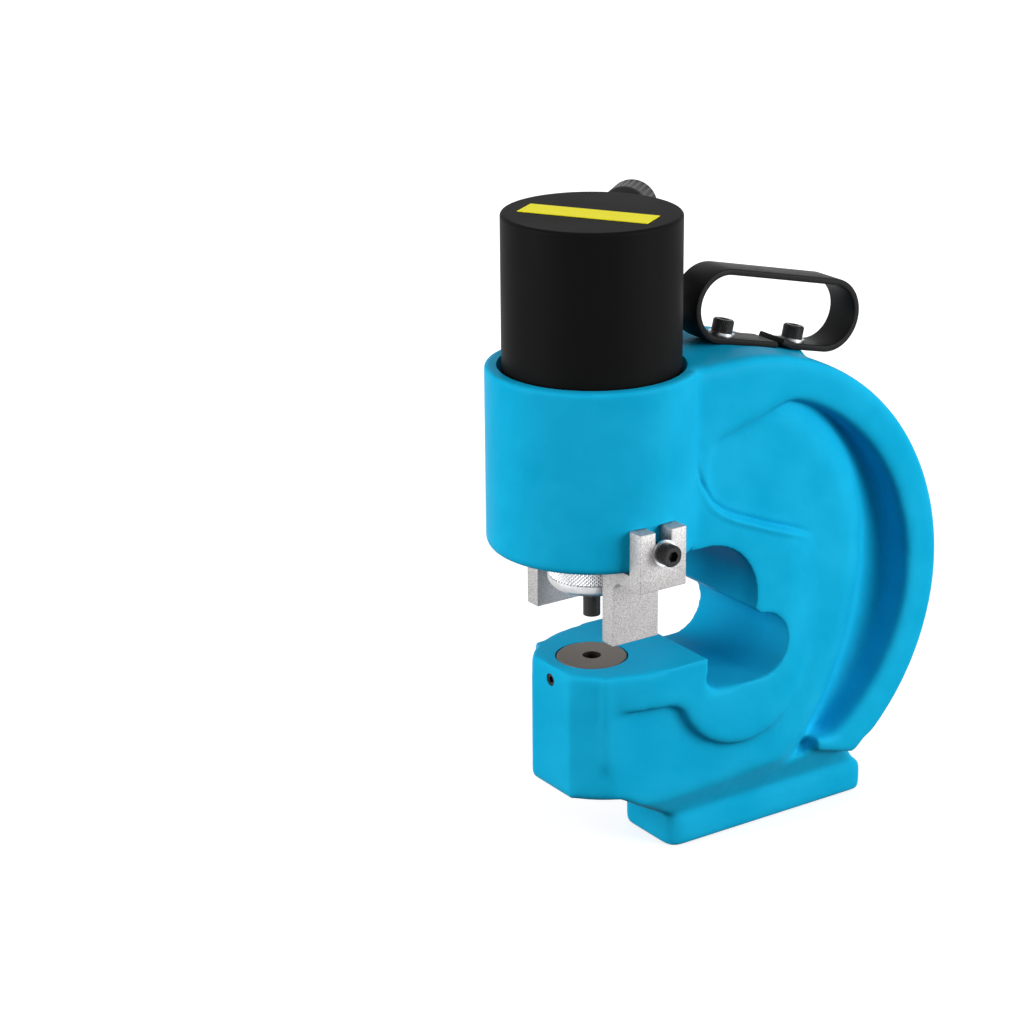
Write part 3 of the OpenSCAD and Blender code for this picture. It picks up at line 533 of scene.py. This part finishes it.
nut_z, nut_top, nut_r, flange_z, punch_hole_r = 178.6, 204.6, 26.8, 184.6, 6.25
knurl_low, knurl_high, knurl_rows, knurl_teeth, knurl_lean, knurl_deep = 186.6, 202.6, 42, 72, 7, 0.5
rows = [knurl_low + (knurl_high - knurl_low) * i / knurl_rows for i in range(knurl_rows + 1)]
outline = [(punch_hole_r + 1, nut_z)] + arc(7, (nut_r - 7, nut_z + 7), -90, 0, 8) + [(nut_r, z) for z in rows]
outline += arc(1, (nut_r - 1, nut_top - 1), 0, 90, 3)
outline += [(20, nut_top), (20, flange_z), (punch_hole_r, flange_z), (punch_hole_r, nut_z + 1)]
nut = turned("knurled_nut", outline, knurl_teeth * 6, ram_axis)
for vertex in nut.data.vertices:
    x, y, z = vertex.co.x / mm, vertex.co.y / mm - ram_y, vertex.co.z / mm
    radius = hypot(x, y)
    if radius > nut_r - 0.1 and knurl_low + 0.1 < z < knurl_high - 0.1:
        # two sets of screw lines, which lean 7 teeth one way and the other over the band, leave diamonds
        turn, lean = atan2(y, x) / tau * knurl_teeth, (z - knurl_low) / (knurl_high - knurl_low) * knurl_lean
        ridge = min(abs((turn + lean) % 1 - 0.5), abs((turn - lean) % 1 - 0.5)) * 2
        lower = knurl_deep * (1 - ridge)
        vertex.co.x -= lower * x / radius * mm
        vertex.co.y -= lower * y / radius * mm
pick(nut)
bpy.ops.object.shade_smooth_by_angle(angle=radians(25))
nut.data.materials.append(bright_steel)
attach(nut, "ram_unit")
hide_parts("punch_nut")


# Springs: round wire wound into open coils. The strong one lifts the ram and is squeezed by the
# piston; the small one, in the oil inlet, holds the coupler's ball on its seat.
inlet = Matrix.Translation((0, ram_y * mm, 0.3896)) @ Matrix.Rotation(radians(130), 4, "Z")
inlet = inlet @ Matrix.Rotation(pi / 2, 4, "Y")


def coil(name, radius, wire, start, end, turns, place):
    """A coil of round wire, from the first to the last height of its middle line, in mm."""
    bpy.ops.mesh.primitive_circle_add(vertices=12, radius=wire / 2 * mm, rotation=(pi / 2, 0, 0),
                                      location=(radius * mm, 0, start * mm))
    piece = bpy.context.object
    piece.name = piece.data.name = name
    settle(piece)
    apply(piece, "SCREW", angle=tau, screw_offset=(end - start) / turns * mm, iterations=turns, steps=36,
          render_steps=36)
    edit_all(piece)
    bpy.ops.mesh.remove_doubles(threshold=1e-6)
    bpy.ops.mesh.fill_holes(sides=0)
    bpy.ops.mesh.normals_make_consistent(inside=False)
    close_edit()
    piece.data.transform(place)
    pick(piece)
    bpy.ops.object.shade_smooth_by_angle(angle=radians(40))
    return piece


# Oiled spring steel: dark grey, with a blue cast from tempering in patches of about 10 mm.
spring_steel, tree, shader = finish("oiled_spring_steel", metallic=1.0)
at = add(tree, "TexCoord")
temper = add(tree, "TexNoise", {"Vector": (at, "Object"), "Scale": 90.0, "Detail": 3.0})
tone = add(tree, "Mix", {0: (temper, 0), 6: srgb("#6A6F78"), 7: srgb("#7C7A78")}, data_type="RGBA")
gloss = add(tree, "MapRange", {"Value": (temper, 0), "To Min": 0.3, "To Max": 0.45})
link(tree, shader, base_color=(tone, 2), roughness=(gloss, 0))

ram_spring = coil("ram_spring", radius=32.5, wire=7, start=253.3, end=340.5, turns=6, place=ram_axis)
valve_spring = coil("valve_spring", radius=3.6, wire=0.8, start=6.6, end=17.67, turns=4,
                    place=inlet @ Matrix.Translation((0, 0, 65.5 * mm)))
out = inlet.to_3x3() @ Vector((0, 0, 1))
for spring, part, joint, axis, anchor, keep in (
        (ram_spring, "return_spring", "ram_stroke", (0, 0, 1), (0, ram_y * mm, 0.2498), 0.692),
        (valve_spring, "coupler_spring", "valve_ball", tuple(out),
         tuple(inlet @ Vector((0, 0, 71.7 * mm))), 0.79)):
    spring.data.materials.append(spring_steel)
    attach(spring, "press")
    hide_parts(part)
    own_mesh(spring)


# Strippers: two forked plates cut from steel bar, tumbled so that their edges are slightly rounded, and
# zinc plated to a light, grainy grey. Each lies on a flat of the barrel under its screw and washer.
def eased(part, name, round_mm):
    """A copy of a CAD piece with a small round on its sharp edges."""
    piece = copy_of(part, name)
    edit_all(piece)
    bpy.ops.mesh.dissolve_limited(angle_limit=radians(0.5))
    close_edit()
    apply(piece, "BEVEL", width=round_mm * mm, segments=3, limit_method="ANGLE", angle_limit=radians(40))
    bpy.ops.object.shade_smooth_by_angle(angle=radians(35))
    return piece


# Blasted steel with zinc on it: the grit leaves dents of about 0.4 mm, drawn at 0.6 mm so that they show,
# and the zinc is paler and darker in stains of about 12 mm.
grainy_zinc, tree, shader = finish("blasted_zinc_plate", metallic=0.55)
at = add(tree, "TexCoord")
grit = add(tree, "TexNoise", {"Vector": (at, "Object"), "Scale": 1650.0, "Detail": 3.0})
sharp = add(tree, "MapRange", {"Value": (grit, 0), "From Min": 0.38, "From Max": 0.6})
stain = add(tree, "TexNoise", {"Vector": (at, "Object"), "Scale": 80.0, "Detail": 3.0})
pale = add(tree, "Mix", {0: (stain, 0), 6: srgb("#B3B1B1"), 7: srgb("#CAC8C8")}, data_type="RGBA")
tone = add(tree, "Mix", {0: (sharp, 0), 6: srgb("#8F8D8D"), 7: (pale, 2)}, data_type="RGBA")
gloss = add(tree, "MapRange", {"Value": (grit, 0), "To Min": 0.4, "To Max": 0.65})
relief = add(tree, "Bump", {"Strength": 0.4, "Distance": 0.0001, "Height": (grit, 0)})
link(tree, shader, base_color=(tone, 2), roughness=(gloss, 0), normal=(relief, 0))
for side in ("right", "left"):
    plate = eased("stripper_" + side, side + "_forked_stripper", round_mm=0.6)
    plate.data.materials.clear()
    plate.data.materials.append(grainy_zinc)
    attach(plate, side + "_stripper")
    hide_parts("stripper_" + side)


# Washers: stamped from steel sheet and laid under the heads of the screws that hold the strippers and
# the handle.
# Bright zinc plate: shiny, with a faint blue tint and a cloudiness of about 4 mm.
bright_zinc, tree, shader = finish("bright_zinc_plate", metallic=1.0)
at = add(tree, "TexCoord")
bloom = add(tree, "TexNoise", {"Vector": (at, "Object"), "Scale": 250.0, "Detail": 3.0})
tone = add(tree, "Mix", {0: (bloom, 0), 6: srgb("#B9BDC2"), 7: srgb("#E0E2E4")}, data_type="RGBA")
gloss = add(tree, "MapRange", {"Value": (bloom, 0), "To Min": 0.2, "To Max": 0.4})
link(tree, shader, base_color=(tone, 2), roughness=(gloss, 0))
parts["stripper_washers"].material_slots[0].material = bright_zinc
parts["handle_washers"].material_slots[0].material = bright_zinc


# Screws: four M8 socket-head screws of black oxide steel. The head is cold-formed, with a straight knurl
# round it and a hexagon socket for a 6 mm key. One is modelled and copied.
def flute(piece, least_r, low, high, count, shares, sunk, deep):
    """Sinks straight grooves into the side of a turned piece, outside a radius and between two heights, in
    mm: each of the count turns has some shares, of which those in sunk go in."""
    for vertex in piece.data.vertices:
        radius = hypot(vertex.co.x, vertex.co.y) / mm
        share = round(atan2(vertex.co.y, vertex.co.x) / tau * count * shares) % shares
        if radius > least_r and low < vertex.co.z / mm < high and share in sunk:
            vertex.co.x *= 1 - deep / radius
            vertex.co.y *= 1 - deep / radius


shank_r, shank_long, head_r, head_high, socket_flats, teeth = 3.95, 20, 6.5, 8, 6, 36
outline = [(0, -shank_long), (shank_r, -shank_long), (shank_r, 0), (head_r, 0), (head_r, 0.5),
           (head_r, head_high - 1), (head_r - 0.8, head_high), (0, head_high)]
head = turned("socket_screw", outline, teeth * 4, Matrix.Identity(4))
flute(head, head_r - 0.1, 0.4, head_high - 0.8, count=teeth, shares=4, sunk=(0,), deep=0.35)
socket = rod(socket_flats / cos(pi / 6) / 2, 4, 10, Matrix.Identity(4), sides=6)
apply(head, "BOOLEAN", object=socket, operation="DIFFERENCE", solver="EXACT")
bpy.data.objects.remove(socket)
merge(head, 5e-6)
washer_x = 73.45 * mm
right_flat = Matrix.Translation((washer_x, ram_y * mm, screw_z * mm)) @ Matrix.Rotation(pi / 2, 4, "Y")
left_flat = Matrix.Translation((-washer_x, ram_y * mm, screw_z * mm)) @ Matrix.Rotation(-pi / 2, 4, "Y")
on_washer = Matrix.Translation((0, 0, -17.4 * mm))
screws = {
    "right_stripper_screw": (right_flat, "stripper_screws"),
    "left_stripper_screw": (left_flat, "stripper_screws"),
    "front_handle_screw": (boss[0] @ on_washer, "handle_screws"),
    "rear_handle_screw": (boss[1] @ on_washer, "handle_screws"),
}
for name, (place, part) in screws.items():
    screw = head.copy()
    screw.data = head.data.copy()
    screw.name = screw.data.name = name
    scene.collection.objects.link(screw)
    if "stripper" in name:
        # a shorter shank, 18 mm under the head
        for vertex in screw.data.vertices:
            if vertex.co.z < (1 - shank_long) * mm:
                vertex.co.z = (2 - shank_long) * mm
    screw.data.transform(place)
    pick(screw)
    bpy.ops.object.shade_smooth_by_angle(angle=radians(28))
    screw.data.materials.append(black_oxide)
    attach(screw, "press")
    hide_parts(part)
bpy.data.objects.remove(head)


# Handle: a flat steel strap bent into a loop with round ends. Its two tips meet between the screws that
# hold it on the frame's seat.
bend, half_pitch, thick, strap_wide = 21, 41.5, 4, 24
middle = [(4, -bend)] + [(-half_pitch + u, v) for u, v in arc(bend, (0, 0), -90, -270, 36)]
middle += [(half_pitch + u, v) for u, v in arc(bend, (0, 0), 90, -90, 36)]
# the rear tip rises a little past its screw
middle += [(18, -bend), (16.5, 0.2 - bend), (7.5, 2.4 - bend)]
outer, inner = [], []
for i, (u, v) in enumerate(middle):
    before, after = middle[max(i - 1, 0)], middle[min(i + 1, len(middle) - 1)]
    run, rise = after[0] - before[0], after[1] - before[1]
    long = hypot(run, rise)
    outer.append((u + thick / 2 * rise / long, v - thick / 2 * run / long))
    inner.append((u - thick / 2 * rise / long, v + thick / 2 * run / long))
mesh = bpy.data.meshes.new("bent_strap_handle")
outline = [(-strap_wide / 2 * mm, u * mm, v * mm) for u, v in outer + inner[::-1]]
mesh.from_pydata(outline, [], [list(range(len(outline)))])
strap = bpy.data.objects.new("bent_strap_handle", mesh)
scene.collection.objects.link(strap)
edit_all(strap)
bpy.ops.mesh.extrude_region_move(TRANSFORM_OT_translate={"value": (strap_wide * mm, 0, 0)})
bpy.ops.mesh.select_all(action="SELECT")
bpy.ops.mesh.normals_make_consistent(inside=False)
close_edit()
apply(strap, "BEVEL", width=0.9 * mm, segments=3, limit_method="ANGLE", angle_limit=radians(40))
strap.data.transform(strap_at)
for place in boss:
    hole = rod(screw_hole_r + 0.5, strap_seat - 3, strap_seat + 7, place, sides=48)
    apply(strap, "BOOLEAN", object=hole, operation="DIFFERENCE", solver="EXACT")
    bpy.data.objects.remove(hole)
pick(strap)
bpy.ops.object.shade_smooth_by_angle(angle=radians(35))
# Black powder coat: satin, with a fine grain of about 1 mm, rubbed a little smoother in places of 30 mm. Its
# index is low for the same reason as the blue enamel's.
powder, tree, shader = finish("black_powder_coat", ior=1.3, specular_ior_level=0.15)
at = add(tree, "TexCoord")
grit = add(tree, "TexNoise", {"Vector": (at, "Object"), "Scale": 1100.0, "Detail": 2.0})
rub = add(tree, "TexNoise", {"Vector": (at, "Object"), "Scale": 35.0, "Detail": 3.0})
tone = add(tree, "Mix", {0: (rub, 0), 6: srgb("#151515"), 7: srgb("#202020")}, data_type="RGBA")
gloss = add(tree, "MapRange", {"Value": (rub, 0), "To Min": 0.36, "To Max": 0.55})
relief = add(tree, "Bump", {"Strength": 0.4, "Distance": 0.0001, "Height": (grit, 0)})
link(tree, shader, base_color=(tone, 2), roughness=(gloss, 0), normal=(relief, 0))
strap.data.materials.append(powder)
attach(strap, "press")
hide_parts("handle_strap")


# Oil inlet: a hexagon adapter screwed into the cylinder and the coupler's nipple with its ball, all turned
# from bar. The ball is as bright as the ram.
# Dull zinc plate: a warm, cloudy grey, with clouds of about 6 mm.
dull_zinc, tree, shader = finish("dull_zinc_plate", metallic=1.0)
at = add(tree, "TexCoord")
cloud = add(tree, "TexNoise", {"Vector": (at, "Object"), "Scale": 160.0, "Detail": 4.0})
tone = add(tree, "Mix", {0: (cloud, 0), 6: srgb("#9A9890"), 7: srgb("#BDBAAE")}, data_type="RGBA")
gloss = add(tree, "MapRange", {"Value": (cloud, 0), "To Min": 0.3, "To Max": 0.5})
link(tree, shader, base_color=(tone, 2), roughness=(gloss, 0))
for part in ("inlet_adapter", "coupler_body"):
    parts[part].material_slots[0].material = dull_zinc
parts["coupler_ball"].material_slots[0].material = hard_chrome


# Dust cap: a moulded plastic cup that pushes over the nipple and keeps dirt out, with ribs round it for
# the fingers.
ribs, cap_r, cap_long, nipple_r = 28, 15.5, 22, 10.3
outline = [(nipple_r, 0), (cap_r - 0.6, 0), (cap_r, 0.8), (cap_r, 2), (cap_r, cap_long - 4)]
outline += arc(2, (cap_r - 2, cap_long - 2), 0, 90)
outline += [(5, cap_long), (4.6, cap_long - 0.4), (0, cap_long - 0.4), (0, 19), (nipple_r, 19)]
cap = turned("ribbed_cap", outline, ribs * 6, Matrix.Identity(4))
flute(cap, cap_r - 0.1, 1.9, cap_long - 2.1, count=ribs, shares=6, sunk=(0, 1, 5), deep=0.9)
cap.data.transform(inlet @ Matrix.Translation((0, 0, 76.8 * mm)))
pick(cap)
bpy.ops.object.shade_smooth_by_angle(angle=radians(30))
# Moulded black plastic: smooth and a little shiny, with a faint skin texture of 0.8 mm.
moulded, tree, shader = finish("moulded_black_plastic", roughness=0.4, ior=1.49)
at = add(tree, "TexCoord")
skin = add(tree, "TexNoise", {"Vector": (at, "Object"), "Scale": 1200.0, "Detail": 2.0})
tone = add(tree, "Mix", {0: (skin, 0), 6: srgb("#0F0F0F"), 7: srgb("#1C1C1C")}, data_type="RGBA")
relief = add(tree, "Bump", {"Strength": 0.3, "Distance": 0.00008, "Height": (skin, 0)})
link(tree, shader, base_color=(tone, 2), normal=(relief, 0))
cap.data.materials.append(moulded)
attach(cap, "cap")
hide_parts("dust_cap")


# Label: a plain strip of plastic film, cut square and stuck across the cylinder's top.
# Yellow film: bright and smooth, slightly wavy and faded in patches of about 14 mm. Its index is low for
# the same reason as the blue enamel's.
film, tree, shader = finish("yellow_label_film", roughness=0.4, ior=1.25, specular_ior_level=0.1)
at = add(tree, "TexCoord")
fade = add(tree, "TexNoise", {"Vector": (at, "Object"), "Scale": 70.0, "Detail": 3.0})
tone = add(tree, "Mix", {0: (fade, 0), 6: srgb("#FDF012"), 7: srgb("#FFF720")}, data_type="RGBA")
relief = add(tree, "Bump", {"Strength": 0.3, "Distance": 0.0003, "Height": (fade, 0)})
link(tree, shader, base_color=(tone, 2), normal=(relief, 0))
parts["label_plate"].material_slots[0].material = film
